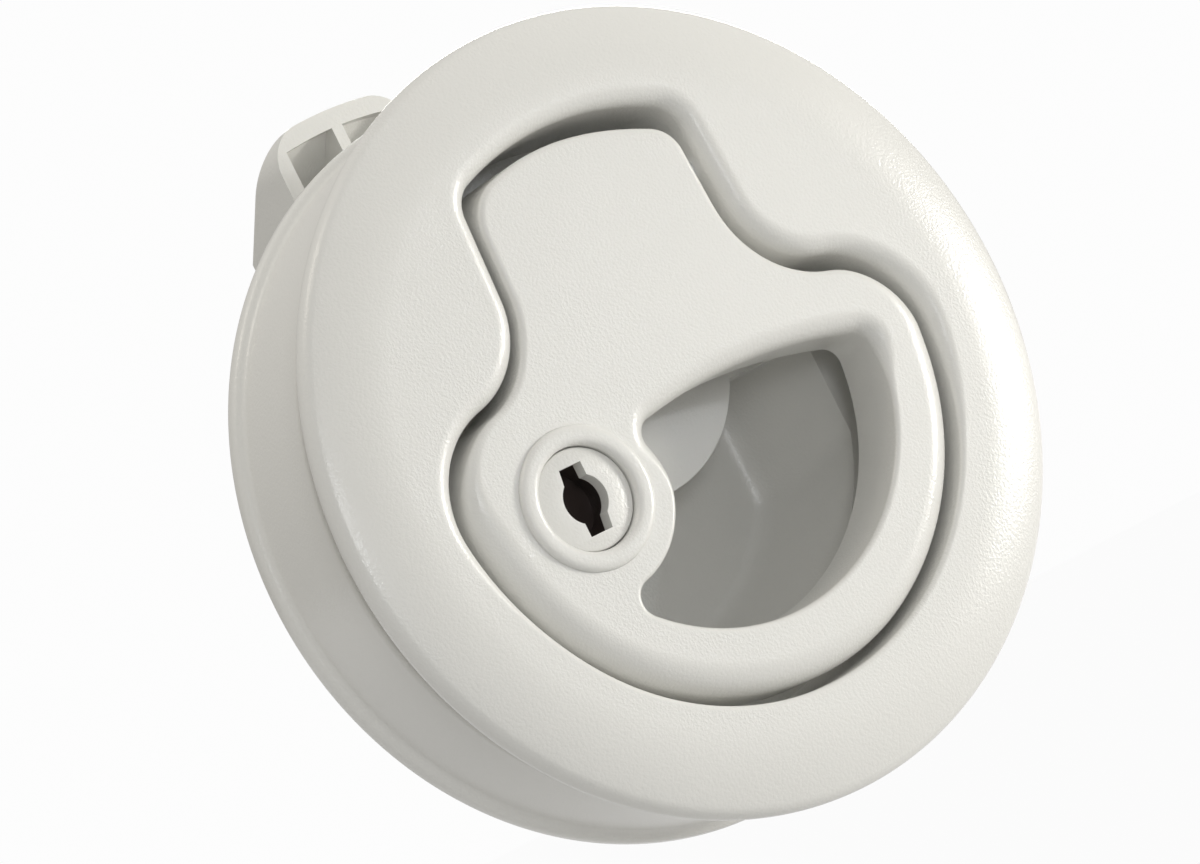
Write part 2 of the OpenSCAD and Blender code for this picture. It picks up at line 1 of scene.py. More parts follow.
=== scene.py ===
"""A round flush pull latch with a key lock, dressed over its CAD frame.

The visible mouldings are drawn again as fine meshes from the sizes of the solids, because their lips and
edges are rounded all the way. The metal parts keep their CAD meshes.
Sizes below are in millimetres, in the frame of the part: +Y goes into the panel, +Z to the bolt.
"""

import math

import bmesh
import bpy
from mathutils import Matrix, Vector
from mathutils.geometry import tessellate_polygon

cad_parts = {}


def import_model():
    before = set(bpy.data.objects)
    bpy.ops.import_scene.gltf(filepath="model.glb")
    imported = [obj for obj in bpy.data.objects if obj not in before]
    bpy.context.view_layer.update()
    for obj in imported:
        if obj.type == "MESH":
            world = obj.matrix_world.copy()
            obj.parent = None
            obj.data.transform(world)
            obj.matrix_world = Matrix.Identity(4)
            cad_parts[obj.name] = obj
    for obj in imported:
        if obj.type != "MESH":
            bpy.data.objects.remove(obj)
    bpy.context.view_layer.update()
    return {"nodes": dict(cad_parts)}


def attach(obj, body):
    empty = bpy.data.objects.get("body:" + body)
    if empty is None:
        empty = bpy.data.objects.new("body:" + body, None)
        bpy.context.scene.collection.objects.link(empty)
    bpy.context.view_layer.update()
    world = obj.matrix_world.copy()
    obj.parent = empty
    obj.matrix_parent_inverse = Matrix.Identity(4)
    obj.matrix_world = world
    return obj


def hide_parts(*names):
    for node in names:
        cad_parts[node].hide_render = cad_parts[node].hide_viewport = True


MM = 0.001

# front of the housing
BEZEL_R = 31.5
FACE_Y = -3.6
FACE_FLAT_R = 25.2
DOME_R = 14.9
RIM_R = 1.2
BARREL_R = 25.4
BARREL_LEN = 21.4
BARREL_END = 0.5
BARREL_CHAMFER = 0.4
THREAD_PITCH = 2.5
THREAD_DEPTH = 0.5
THREAD_START = 0.4
THREAD_HALF = 0.36
THREAD_FLANK = 0.24
THREAD_STEP = 0.2
THREAD_SIDES = 180

# recess in the front
RECESS_R = 22.8
RECESS_Z = -0.6
SHOULDER_R = 8.0
SHOULDER_TURN = math.radians(185)
NECK_R = 7.3
TAB_HALF = 10.5
TAB_REF_Z = 18.0
TAB_FLARE = math.radians(3)
RECESS_TOP_R = 23.2
CORNER_R = 2.6
LIP_TOP_R = 1.5
LIP_LOW_R = 0.4
LIP_SPAN = (-14.0, 2.0)
FLOOR_Y = 7.5
SKIN = 2.0
FLAT_STRIP = 0.15
LIP_STEPS = 10

# finger cup in the recess floor
CUP_Y = 16.4
CUP_TOP_R = 20.0
CUP_LOW_R = 17.0
CUP_TOP_X = 18.7
CUP_LOW_X = 14.3
CUP_Z = 0.7
SHELF_C = (1.0, 5.7)
SHELF_R = 11.0
# inset of the cup's foot, and height over its floor
CUP_FOOT = ((0, 1.3), (0.25, 0.5), (0.7, 0.1), (1.2, 0))

# handle
GAP = 0.9
TAB_GAP = 0.6
GAP_SPAN = (-9, 9)
LEFT_GAP_SPAN = (4, 10)
LEFT_GAPS = (GAP + 0.1, GAP - 0.55)
RIGHT_GAP_SPAN = (-3, 5)
RIGHT_GAPS = (GAP - 0.3, GAP + 0.55)
HANDLE_STEPS = 12
HANDLE_TOP_R = 0.5
HANDLE_LOW_R = 2.2
HANDLE_SPAN = (-4.0, 7.0)
HANDLE_CORNER_R = 4.2
HANDLE_BACK = FACE_Y + 6.3
HANDLE_CHAMFER = 0.4
HOLE_TOP_R = 1.6
HOLE_LOW_R = 0.4
HOLE_SPAN = (-6.0, -0.5)
HOLE_C = (0.0, -0.3)
HOLE_R = 17.2
BROW_C = (4.5, -43.0)
BROW_R = 44.0
BITE_R = 7.5
HOLE_CORNER_R = 1.5
HOLE_CHAMFER = 0.5
PIN_Y = -0.4
PIN_Z = 16.0
POCKET_X = (4.2, 8.2)
POCKET_R = 2.3
ARM_LEN = 15.4
ARM_HALF = 3.0
ARM_TIP_R = 1.7
ARM_NECK = 1.4
ARM_TURN = math.radians(16)
HATCH_HALF = 5.0
HATCH_Z = (8.5, 22.5)
HATCH_MOUTH = 20.6

# lock
LOCK_C = (-12.4, -3.2)
COLLAR_R = 5.6
COLLAR_BODY_R = 5.0
COLLAR_UP = 0.5
COLLAR_HEAD = 1.0
COLLAR_BACK = HANDLE_BACK + 0.2
COLLAR_EDGE_R = 0.6
PLUG_R = 4.0
PLUG_IN = 0.7
PLUG_CLEAR = 0.05
PLUG_BACK = HANDLE_BACK + 0.5
PLUG_EDGE = 0.25
PLUG_EDGE_MID = 0.08
LOCK_SIDES = 96
KEYHOLE_R = 1.9
SLOT_W = 2.0
SLOT_L = 5.4
KEY_PLATE = 1.2
KEY_EDGE = 0.1
KEY_ROOM_R = 2.9
KEYHOLE_DEPTH = 4.4
KEY_ROOM_SIDES = 48

# clamp ring
RING_Y = 3.2
RING_LEN = 10.8
RING_R = 29.5
RING_LIP = 0.8
RING_LIP_LEN = 1.7
RING_LIP_SLOPE = 0.4
RING_CLEAR = 0.1
RING_EDGE_R = 0.5
RING_SIDES = 240

# bolt and the post that the handle's arm pushes
BOLT_Y = 25.4
BOLT_BACK = 35.9
BOLT_HALF = 6.5
BOLT_BOTTOM = -3.0
NOSE_R = 34.2
NOSE_CORNER_R = 3.4
NOSE_TIP = 0.9
SLAM_SLOPE = 1.21
BOLT_WALL = 1.3
BOLT_RIB = 1.0
BOLT_POCKET_LOW = 21.0
NOSE_WALL = 1.5
LUG_HALF = 7.7
LUG_H = 5.0
POST_HALF = 4.2
POST_GAP = 0.3
POST_AHEAD = 1.2
POST_Y = PIN_Y + ARM_LEN * math.cos(ARM_TURN) - POST_AHEAD
POST_TOP = PIN_Z + ARM_LEN * math.sin(ARM_TURN) - ARM_TIP_R - POST_GAP
POST_H = 6.0
TRAVEL = 2 * ARM_LEN * math.sin(ARM_TURN)
BOLT_SOFT = 0.35
JOIN = 0.2

# rear cover with the guide of the bolt
SLIDE_CLEAR = 0.2
COVER_R = 22.5
COVER_IN = 0.3
COVER_SOFT = 0.4
COVER_BACK = BOLT_Y - SLIDE_CLEAR
GUIDE_WALL = 2.0
GUIDE_TOP = 14.0
GUIDE_ROOM = 0.4
GUIDE_LOW = BOLT_BOTTOM - TRAVEL - GUIDE_ROOM
GUIDE_HALF = LUG_HALF + SLIDE_CLEAR + GUIDE_WALL
GUIDE_BACK = BOLT_BACK + SLIDE_CLEAR
GUIDE_EDGE_R = 2.5
STOP_Z = BOLT_BOTTOM + LUG_H + SLIDE_CLEAR
CHAMBER_ROOM = 0.6
CHAMBER_LOW = POST_TOP - POST_H - TRAVEL - CHAMBER_ROOM


def plus(a, b, k=1.0):
    return (a[0] + k * b[0], a[1] + k * b[1])


def minus(a, b):
    return (a[0] - b[0], a[1] - b[1])


def dot(a, b):
    return a[0] * b[0] + a[1] * b[1]


def angle_of(v):
    return math.atan2(v[1], v[0])


def above(angle, other):
    """The angle raised by whole turns above another."""
    while angle < other:
        angle += 2 * math.pi
    return angle


def line_hit(p, direction, centre, dist):
    """First point of a line that lies at a distance from a centre."""
    a = minus(p, centre)
    b = dot(a, direction)
    return plus(p, direction, -b - math.sqrt(b * b - dot(a, a) + dist * dist))


def ring_hit(a, ra, b, rb, side):
    """Point where two circles meet, on one side of the line between their centres."""
    v = minus(b, a)
    d = math.hypot(*v)
    t = (ra * ra - rb * rb + d * d) / (2 * d)
    h = math.sqrt(ra * ra - t * t)
    return plus(plus(a, v, t / d), (-v[1], v[0]), side * h / d)


def arc(c, r, start, end, n):
    """Points on an arc after its first point."""
    steps = [start + (end - start) * i / n for i in range(1, n + 1)]
    return [(c[0] + r * math.cos(t), c[1] + r * math.sin(t)) for t in steps]


def line(a, b, n):
    """Points on a line after its first point."""
    return [plus(a, minus(b, a), i / n) for i in range(1, n + 1)]


SIDE_P = (-TAB_HALF, TAB_REF_Z)
SIDE_DIR = (-math.sin(TAB_FLARE), -math.cos(TAB_FLARE))
SIDE_OUT = (-math.cos(TAB_FLARE), math.sin(TAB_FLARE))
SHOULDER_C = ((RECESS_R - SHOULDER_R) * math.cos(SHOULDER_TURN),
              RECESS_Z + (RECESS_R - SHOULDER_R) * math.sin(SHOULDER_TURN))
NECK_C = line_hit(plus(SIDE_P, SIDE_OUT, NECK_R), SIDE_DIR, SHOULDER_C, SHOULDER_R + NECK_R)
NECK_END = angle_of(minus(SHOULDER_C, NECK_C))


def t_outline(d, top_r, turn_r):
    """The T-shaped outline of recess and handle, moved outwards by d, from its top middle leftwards."""
    k = line_hit(plus(SIDE_P, SIDE_OUT, -turn_r), SIDE_DIR, (0, 0), top_r - turn_r)
    turn = angle_of(k)
    half = arc((0, 0), top_r + d, math.pi / 2, turn, 16)
    half += arc(k, turn_r + d, turn, math.pi - TAB_FLARE, 14)
    neck_r = NECK_R - d
    neck_start = (NECK_C[0] + neck_r * math.cos(TAB_FLARE), NECK_C[1] - neck_r * math.sin(TAB_FLARE))
    half += line(half[-1], neck_start, 6)
    half += arc(NECK_C, neck_r, -TAB_FLARE, NECK_END, 20)
    half += arc(SHOULDER_C, SHOULDER_R + d, math.pi + NECK_END, SHOULDER_TURN, 22)
    half += arc((0, RECESS_Z), RECESS_R + d, SHOULDER_TURN, 1.5 * math.pi, 50)
    return half + [(-x, z) for x, z in half[-2::-1]] + [(0, top_r + d)]


HOLE_RIGHT = ring_hit(BROW_C, BROW_R - HOLE_CORNER_R, HOLE_C, HOLE_R - HOLE_CORNER_R, -1)
HOLE_LEFT = ring_hit(BROW_C, BROW_R - HOLE_CORNER_R, LOCK_C, BITE_R + HOLE_CORNER_R, -1)
HOLE_LOW = ring_hit(HOLE_C, HOLE_R - HOLE_CORNER_R, LOCK_C, BITE_R + HOLE_CORNER_R, 1)


def hole_outline(d):
    """The outline of the finger hole, moved outwards by d."""
    r = HOLE_CORNER_R + d
    right_in = angle_of(minus(HOLE_RIGHT, HOLE_C))
    right_out = angle_of(minus(HOLE_RIGHT, BROW_C))
    left_in = angle_of(minus(HOLE_LEFT, BROW_C))
    left_out = above(angle_of(minus(LOCK_C, HOLE_LEFT)), left_in)
    low_in = angle_of(minus(LOCK_C, HOLE_LOW))
    low_out = angle_of(minus(HOLE_LOW, HOLE_C))
    points = arc(HOLE_RIGHT, r, right_in, right_out, 14)
    points += arc(BROW_C, BROW_R + d, right_out, left_in, 24)
    points += arc(HOLE_LEFT, r, left_in, left_out, 14)
    points += arc(LOCK_C, BITE_R - d, left_out - math.pi, low_in - math.pi, 24)
    points += arc(HOLE_LOW, r, low_in, above(low_out, low_in), 14)
    points += arc(HOLE_C, HOLE_R + d, low_out, above(right_in, low_out), 60)
    return points


def cup_outline(y, d):
    """The outline of the finger cup at a depth, moved inwards by d."""
    down = (y - FLOOR_Y) / (CUP_Y - FLOOR_Y)
    r = CUP_TOP_R + (CUP_LOW_R - CUP_TOP_R) * down - d
    wall_x = CUP_TOP_X + (CUP_LOW_X - CUP_TOP_X) * down - d
    top_z = CUP_Z - d
    low_in = ring_hit((0, 0), r, LOCK_C, BITE_R + d, 1)
    shelf_left = ring_hit(SHELF_C, SHELF_R + d, LOCK_C, BITE_R + d, 1)
    wall_low = (wall_x, -math.sqrt(r * r - wall_x * wall_x))
    shelf_right = (SHELF_C[0] + math.sqrt((SHELF_R + d) ** 2 - (top_z - SHELF_C[1]) ** 2), top_z)
    points = arc((0, 0), r, angle_of(low_in), angle_of(wall_low), 40)
    points += line(wall_low, (wall_x, top_z), 8)
    points += line((wall_x, top_z), shelf_right, 4)
    shelf_start = angle_of(minus(shelf_right, SHELF_C))
    points += arc(SHELF_C, SHELF_R + d, shelf_start, angle_of(minus(shelf_left, SHELF_C)), 30)
    bite_start = angle_of(minus(shelf_left, LOCK_C))
    points += arc(LOCK_C, BITE_R + d, bite_start, angle_of(minus(low_in, LOCK_C)), 24)
    return points


def quarter(n):
    """Angles of a rounding, from the face to the wall."""
    return [math.pi / 2 * i / n for i in range(n + 1)]


def eased(z, span, low, high):
    """A radius that goes smoothly from its low value to its high one over a span of heights."""
    t = min(1, max(0, (z - span[0]) / (span[1] - span[0])))
    return low + (high - low) * t * t * (3 - 2 * t)


def no_offset(x, z):
    return 0


def handle_offset(x, z):
    """How far the handle's edge lies outside the recess outline at a point of it, negative for a gap."""
    left = eased(z, LEFT_GAP_SPAN, *LEFT_GAPS)
    right = eased(z, RIGHT_GAP_SPAN, *RIGHT_GAPS)
    return -eased(x, GAP_SPAN, left, right)


def edge_rings(base, out, radii, offset, away, n):
    """Rings of an edge rounded at the front, from the face to the wall, each point with its own radius.

    out is the base outline moved outwards by 1, and offset gives how far a point of the base moves outwards.
    away is 1 for an opening that widens to the front, and -1 for a solid that narrows. The first ring lies a
    little further on the flat face.
    """
    def ring(grow, t):
        points = []
        for p, q, r in zip(base, out, radii):
            x, z = plus(p, minus(q, p), offset(*p) + away * (r * (1 - math.sin(t)) + grow))
            points.append((x, FACE_Y + r * (1 - math.cos(t)), z))
        return points

    return [ring(FLAT_STRIP, 0)] + [ring(0, t) for t in quarter(n)]


def at_depth(points, y):
    return [(x, y, z) for x, z in points]


def add_ring(bm, points):
    return [bm.verts.new(Vector(p) * MM) for p in points]


def bridge(bm, a, b):
    n = len(a)
    for i in range(n):
        j = (i + 1) % n
        bm.faces.new((a[i], a[j], b[j], b[i]))


def loft(bm, rings):
    """Skins a list of rings of points and returns their vertices."""
    made = [add_ring(bm, ring) for ring in rings]
    for a, b in zip(made, made[1:]):
        bridge(bm, a, b)
    return made


def fill(bm, loops):
    """Fills the flat area between an outer loop of vertices and the holes in it."""
    flat = [v for loop in loops for v in loop]
    for tri in tessellate_polygon([[Vector((v.co.x, v.co.z, 0)) for v in loop] for loop in loops]):
        bm.faces.new([flat[i] for i in tri])


def rectangle(half, low, top):
    """Corners of a rectangle about the middle plane."""
    return [(half, low), (half, top), (-half, top), (-half, low)]


def circle_points(c, r, y, n):
    return [(c[0] + r * math.cos(2 * math.pi * i / n), y, c[1] + r * math.sin(2 * math.pi * i / n))
            for i in range(n)]


def revolve(bm, profile, centre=(0, 0), n=180):
    """Turns a profile of radius and depth about an axis along Y."""
    return loft(bm, [circle_points(centre, r, y, n) for r, y in profile])


def rounded(points, r, n=6):
    """A closed profile with each corner rounded by up to r."""
    out = []
    count = len(points)
    for i, p in enumerate(points):
        before = minus(points[i - 1], p)
        after = minus(points[(i + 1) % count], p)
        la, lb = math.hypot(*before), math.hypot(*after)
        cut = min(r, 0.45 * la, 0.45 * lb)
        a = plus(p, before, cut / la)
        b = plus(p, after, cut / lb)
        for k in range(n + 1):
            t = k / n
            first, second = plus(a, minus(p, a), t), plus(p, minus(b, p), t)
            out.append(plus(first, minus(second, first), t))
    return out


def extrude_x(bm, outline, x0, x1):
    """A solid from an outline in Y and Z, carried along X."""
    rings = loft(bm, [[(x0, y, z) for y, z in outline], [(x1, y, z) for y, z in outline]])
    bm.faces.new(rings[0][::-1])
    bm.faces.new(rings[1])


def piece(name, bm, body, node, materials, sharp=32):
    """Makes an object of a finished mesh, which stands for a CAD node and rides on a body."""
    bmesh.ops.recalc_face_normals(bm, faces=bm.faces)
    mesh = bpy.data.meshes.new(name)
    bm.to_mesh(mesh)
    bm.free()
    mesh.shade_smooth()
    mesh.set_sharp_from_angle(angle=math.radians(sharp))
    obj = bpy.data.objects.new(name, mesh)
    bpy.context.scene.collection.objects.link(obj)
    for material in materials:
        mesh.materials.append(material)
    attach(obj, body)
    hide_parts(node)
    return obj


def soften(obj, width):
    """Rounds the sharp edges of an object a little."""
    bevel = obj.modifiers.new("soft_edges", "BEVEL")
    bevel.width = width * MM
    bevel.segments = 3
    bevel.limit_method = "ANGLE"
    bevel.angle_limit = math.radians(32)
    bevel.harden_normals = True


def front_profile():
    """Radius and depth of the front, from the flat over the fall and the rim to the barrel."""
    run = BEZEL_R - RIM_R - FACE_FLAT_R
    fall_c = (FACE_FLAT_R, FACE_Y + DOME_R)
    rim_c = (BEZEL_R - RIM_R, fall_c[1] - math.sqrt((DOME_R - RIM_R) ** 2 - run * run))
    turn = angle_of(minus(rim_c, fall_c))
    fall = [(FACE_FLAT_R, FACE_Y)] + arc(fall_c, DOME_R, -math.pi / 2, turn, 12)
    rim = arc(rim_c, RIM_R, turn, math.radians(60), 16)
    return fall + rim + [(BEZEL_R - RIM_R, 0), (BARREL_R - THREAD_DEPTH, 0)]


def build_housing(material):
    bm = bmesh.new()
    base = t_outline(0, RECESS_TOP_R, CORNER_R)
    out = t_outline(1, RECESS_TOP_R, CORNER_R)
    radii = [eased(z, LIP_SPAN, LIP_LOW_R, LIP_TOP_R) for x, z in base]
    lip = edge_rings(base, out, radii, no_offset, 1, LIP_STEPS)
    inner = [at_depth(base, y) for y in (FLOOR_Y, 0.5 * FLOOR_Y)] + lip[::-1]
    turns = [math.atan2(z, x) for x, y, z in inner[-2]]
    outer = [[(r * math.cos(a), y, r * math.sin(a)) for a in turns] for r, y in front_profile()]
    skin = loft(bm, inner + outer)

    depths = [(0, FLOOR_Y)] + [(d, CUP_Y - up) for d, up in CUP_FOOT]
    cup = loft(bm, [at_depth(cup_outline(y, d), y) for d, y in depths])
    fill(bm, [cup[-1]])
    mouth, chamber = (HATCH_Z[0], HATCH_MOUTH), (CHAMBER_LOW, HATCH_Z[1])
    stages = ((mouth, FLOOR_Y), (mouth, FLOOR_Y + SKIN), (chamber, FLOOR_Y + SKIN), (chamber, BARREL_LEN))
    hatch = loft(bm, [at_depth(rectangle(HATCH_HALF, *span), y) for span, y in stages])
    fill(bm, [skin[0], cup[0], hatch[0]])

    rings = []
    for k in range(int((BARREL_LEN - BARREL_END) / THREAD_STEP) + 1):
        y = THREAD_STEP * k
        ring = []
        for i in range(THREAD_SIDES):
            a = 2 * math.pi * i / THREAD_SIDES
            phase = (y / THREAD_PITCH + i / THREAD_SIDES) % 1
            rise = (THREAD_HALF - abs(phase - 0.5)) / THREAD_FLANK
            crest = min(1, max(0, rise)) if y > THREAD_START else 0
            r = BARREL_R - THREAD_DEPTH + THREAD_DEPTH * crest
            ring.append((r * math.cos(a), y, r * math.sin(a)))
        rings.append(ring)
    for r in (BARREL_R - THREAD_DEPTH - BARREL_CHAMFER, COVER_R - COVER_IN):
        rings.append(circle_points((0, 0), r, BARREL_LEN, THREAD_SIDES))
    loft(bm, rings)
    piece("housing_moulding", bm, "housing", "housing", [material])


def build_handle(material):
    bm = bmesh.new()
    top_r = RECESS_TOP_R - TAB_GAP
    base = t_outline(0, top_r, HANDLE_CORNER_R)
    out = t_outline(1, top_r, HANDLE_CORNER_R)
    radii = [eased(z, HANDLE_SPAN, HANDLE_LOW_R, HANDLE_TOP_R) for x, z in base]
    edge = edge_rings(base, out, radii, handle_offset, -1, HANDLE_STEPS)
    wall = [(x, HANDLE_BACK - HANDLE_CHAMFER, z) for x, y, z in edge[-1]]
    inner = [plus(p, minus(q, p), handle_offset(*p) - HANDLE_CHAMFER) for p, q in zip(base, out)]
    skin = loft(bm, [at_depth(inner, HANDLE_BACK), wall] + edge[::-1])

    base = hole_outline(0)
    radii = [eased(z, HOLE_SPAN, HOLE_LOW_R, HOLE_TOP_R) for x, z in base]
    hole = loft(bm, edge_rings(base, hole_outline(1), radii, no_offset, 1, LIP_STEPS)
                + [at_depth(base, HANDLE_BACK - HOLE_CHAMFER),
                   at_depth(hole_outline(HOLE_CHAMFER), HANDLE_BACK)])
    bore_front = add_ring(bm, circle_points(LOCK_C, COLLAR_R, FACE_Y, LOCK_SIDES))
    bore_back = add_ring(bm, circle_points(LOCK_C, COLLAR_BODY_R, HANDLE_BACK, LOCK_SIDES))
    z0, z1 = PIN_Z - POCKET_R, PIN_Z + POCKET_R
    pocket_corners = [(POCKET_X[0], z0), (POCKET_X[1], z0), (POCKET_X[1], z1), (POCKET_X[0], z1)]
    pocket = loft(bm, [at_depth(pocket_corners, y) for y in (HANDLE_BACK, PIN_Y - POCKET_R)])
    bm.faces.new(pocket[1])
    fill(bm, [skin[-1], hole[0], bore_front])
    fill(bm, [skin[0], hole[-1], bore_back, pocket[0]])

    c, s = math.cos(ARM_TURN), math.sin(ARM_TURN)
    start = math.asin(ARM_NECK / ARM_TIP_R)
    tip = [(ARM_LEN + ARM_TIP_R * math.cos(t), ARM_TIP_R * math.sin(t))
           for t in [(start - math.pi) + (2 * math.pi - 2 * start) * i / 24 for i in range(25)]]
    side = [(0, -ARM_NECK)] + tip + [(0, ARM_NECK)]
    arm = [(PIN_Y + u * c - v * s, PIN_Z + u * s + v * c) for u, v in side]
    extrude_x(bm, arm, -ARM_HALF, ARM_HALF)
    piece("handle_moulding", bm, "handle", "handle", [material])


def build_lock(material, painted_shade):
    front = FACE_Y - COLLAR_UP
    bm = bmesh.new()
    bore_r = PLUG_R + PLUG_CLEAR
    step_y = FACE_Y + COLLAR_HEAD
    profile = rounded([(bore_r, front), (COLLAR_R, front), (COLLAR_R, step_y), (COLLAR_BODY_R, step_y),
                       (COLLAR_BODY_R, COLLAR_BACK), (bore_r, COLLAR_BACK)], COLLAR_EDGE_R)
    revolve(bm, profile + profile[:1], LOCK_C, LOCK_SIDES)
    piece("lock_ring", bm, "handle", "lock_collar", [material])

    bm = bmesh.new()
    face = front + PLUG_IN
    rings = revolve(bm, [(PLUG_R, PLUG_BACK), (PLUG_R, face + PLUG_EDGE),
                         (PLUG_R - PLUG_EDGE_MID, face + PLUG_EDGE_MID), (PLUG_R - PLUG_EDGE, face)],
                    LOCK_C, LOCK_SIDES)
    bm.faces.new(rings[0])
    w, h = SLOT_W / 2, SLOT_L / 2
    open_at = math.acos(w / KEYHOLE_R)
    right = arc((0, 0), KEYHOLE_R, -open_at, open_at, 16)
    left = arc((0, 0), KEYHOLE_R, math.pi - open_at, math.pi + open_at, 16)
    outline = [plus(LOCK_C, p) for p in right + [(w, h), (-w, h)] + left + [(-w, -h), (w, -h)]]
    hole = loft(bm, [at_depth(outline, y) for y in (face, face + KEY_EDGE, face + KEY_PLATE)])
    fill(bm, [rings[-1], hole[0]])
    plain = set(bm.faces)
    room = revolve(bm, [(KEY_ROOM_R, face + KEY_PLATE), (KEY_ROOM_R, face + KEYHOLE_DEPTH)],
                   LOCK_C, KEY_ROOM_SIDES)
    fill(bm, [room[0], hole[-1]])
    bm.faces.new(room[1])
    # the keyhole's walls and the room behind it take the near-black painted shade
    for f in set(bm.faces) - plain:
        f.material_index = 1
    piece("lock_barrel", bm, "lock", "lock_plug", [material, painted_shade])


def build_ring(material):
    bm = bmesh.new()
    bore = BARREL_R + RING_CLEAR
    lip_y = RING_Y + RING_LEN - RING_LIP_LEN
    end = RING_Y + RING_LEN
    profile = rounded([(bore, RING_Y), (RING_R, RING_Y), (RING_R, lip_y),
                       (RING_R + RING_LIP, lip_y + RING_LIP_SLOPE), (RING_R + RING_LIP, end), (bore, end)],
                      RING_EDGE_R)
    revolve(bm, profile + profile[:1], n=RING_SIDES)
    piece("ring_nut", bm, "housing", "clamp_ring", [material])


def add_box(bm, x0, x1, y0, y1, z0, z1):
    corners = [(x0, y0), (x1, y0), (x1, y1), (x0, y1)]
    rings = loft(bm, [[(x, y, z) for x, y in corners] for z in (z0, z1)])
    bm.faces.new(rings[0])
    bm.faces.new(rings[1])


def build_bolt(material):
    """The hollow bolt with its sloping slam face, two pockets and the rib between them."""
    bm = bmesh.new()
    corner_x = BOLT_HALF - NOSE_CORNER_R
    corner_z = math.sqrt((NOSE_R - NOSE_CORNER_R) ** 2 - corner_x * corner_x)
    lean = math.atan2(corner_z, corner_x)
    tip_y = BOLT_Y + NOSE_TIP
    foot_z = NOSE_R - (BOLT_BACK - tip_y) / SLAM_SLOPE

    def slam(z, y_tip, y_max):
        return min(y_max, y_tip + (NOSE_R - z) * SLAM_SLOPE)

    right = [(BOLT_HALF, BOLT_BOTTOM), (BOLT_HALF, foot_z), (BOLT_HALF, corner_z)]
    right += arc((corner_x, corner_z), NOSE_CORNER_R, 0, lean, 14)
    right += arc((0, 0), NOSE_R, lean, math.pi / 2, 6)
    plan = right + [(-x, z) for x, z in right[-2::-1]]
    body = loft(bm, [at_depth(plan, BOLT_Y), [(x, slam(z, tip_y, BOLT_BACK), z) for x, z in plan]])
    bm.faces.new([body[1][i] for i in (0, 1, -2, -1)])
    bm.faces.new(body[1][1:-1])

    inner_x = BOLT_HALF - BOLT_WALL
    inner_r = NOSE_R - NOSE_WALL
    inner_tip = tip_y - BOLT_WALL * math.sqrt(1 + SLAM_SLOPE ** 2) + 0.3 * BOLT_WALL
    inner_back = BOLT_BACK - BOLT_WALL
    crease = NOSE_R - (inner_back - inner_tip) / SLAM_SLOPE
    rib = BOLT_RIB / 2
    mouths = []
    for side in (1, -1):
        half = [(rib, crease), (rib, BOLT_POCKET_LOW), (inner_x, BOLT_POCKET_LOW), (inner_x, crease)]
        half += [(inner_x, math.sqrt(inner_r ** 2 - inner_x ** 2))]
        half += arc((0, 0), inner_r, math.acos(inner_x / inner_r), math.acos(rib / inner_r), 8)
        outline = [(side * x, z) for x, z in half]
        floor = [(x, slam(z, inner_tip, inner_back), z) for x, z in outline]
        pocket = loft(bm, [at_depth(outline, BOLT_Y), floor])
        bm.faces.new(pocket[1][:4])
        bm.faces.new([pocket[1][0]] + pocket[1][3:])
        mouths.append(pocket[0])
    fill(bm, [body[0]] + mouths)
    for side in (1, -1):
        x0, x1 = sorted((side * (BOLT_HALF - JOIN), side * LUG_HALF))
        add_box(bm, x0, x1, BOLT_Y, BOLT_BACK, BOLT_BOTTOM, BOLT_BOTTOM + LUG_H)
    add_box(bm, -POST_HALF, POST_HALF, POST_Y, BOLT_Y + JOIN, POST_TOP - POST_H, POST_TOP)
    soften(piece("bolt_moulding", bm, "bolt", "bolt", [material]), BOLT_SOFT)


def build_cover(material):
    """The flange behind the barrel and the guide box of the bolt, open at the top."""
    bm = bmesh.new()
    rim = revolve(bm, [(COVER_R - 0.2, BARREL_LEN), (COVER_R, BARREL_LEN + 0.3), (COVER_R, COVER_BACK - 0.7),
                       (COVER_R - 0.2, COVER_BACK - 0.2), (COVER_R - 0.7, COVER_BACK)])
    slot_corners = rectangle(HATCH_HALF, CHAMBER_LOW, POST_TOP + CHAMBER_ROOM)
    slot = loft(bm, [at_depth(slot_corners, y) for y in (BARREL_LEN, COVER_BACK)])
    fill(bm, [rim[0], slot[0]])
    fill(bm, [rim[-1], slot[1]])

    edge_x = GUIDE_HALF - GUIDE_EDGE_R
    edge_y = GUIDE_BACK + GUIDE_WALL - GUIDE_EDGE_R
    right = [(GUIDE_HALF, COVER_BACK - JOIN), (GUIDE_HALF, edge_y)]
    right += arc((edge_x, edge_y), GUIDE_EDGE_R, 0, math.pi / 2, 10)
    outer = right + [(-x, y) for x, y in right[::-1]]
    low = GUIDE_LOW - GUIDE_WALL
    walls = loft(bm, [[(x, y, z) for x, y in outer] for z in (low, GUIDE_TOP)])
    bm.faces.new(walls[0])
    inner = []
    for half, z in ((BOLT_HALF, GUIDE_TOP), (BOLT_HALF, STOP_Z), (LUG_HALF, STOP_Z), (LUG_HALF, GUIDE_LOW)):
        x = half + SLIDE_CLEAR
        corners = [(-x, COVER_BACK), (-x, GUIDE_BACK), (x, GUIDE_BACK), (x, COVER_BACK)]
        inner.append(add_ring(bm, [(a, b, z) for a, b in corners]))
    for a, b in zip(inner, inner[1:]):
        for i in range(3):
            bm.faces.new((a[i], a[i + 1], b[i + 1], b[i]))
    bm.faces.new(inner[-1])
    bm.faces.new(walls[1] + inner[0])
    soften(piece("cover_moulding", bm, "housing", "rear_cover", [material]), COVER_SOFT)


def put(node, values):
    """Sets sockets of a node by name."""
    for name, value in values.items():
        node.inputs[name].default_value = value
    return node


def add_node(nodes, kind, values):
    """Adds a shader node with values on its sockets."""
    return put(nodes.new("ShaderNode" + kind), values)


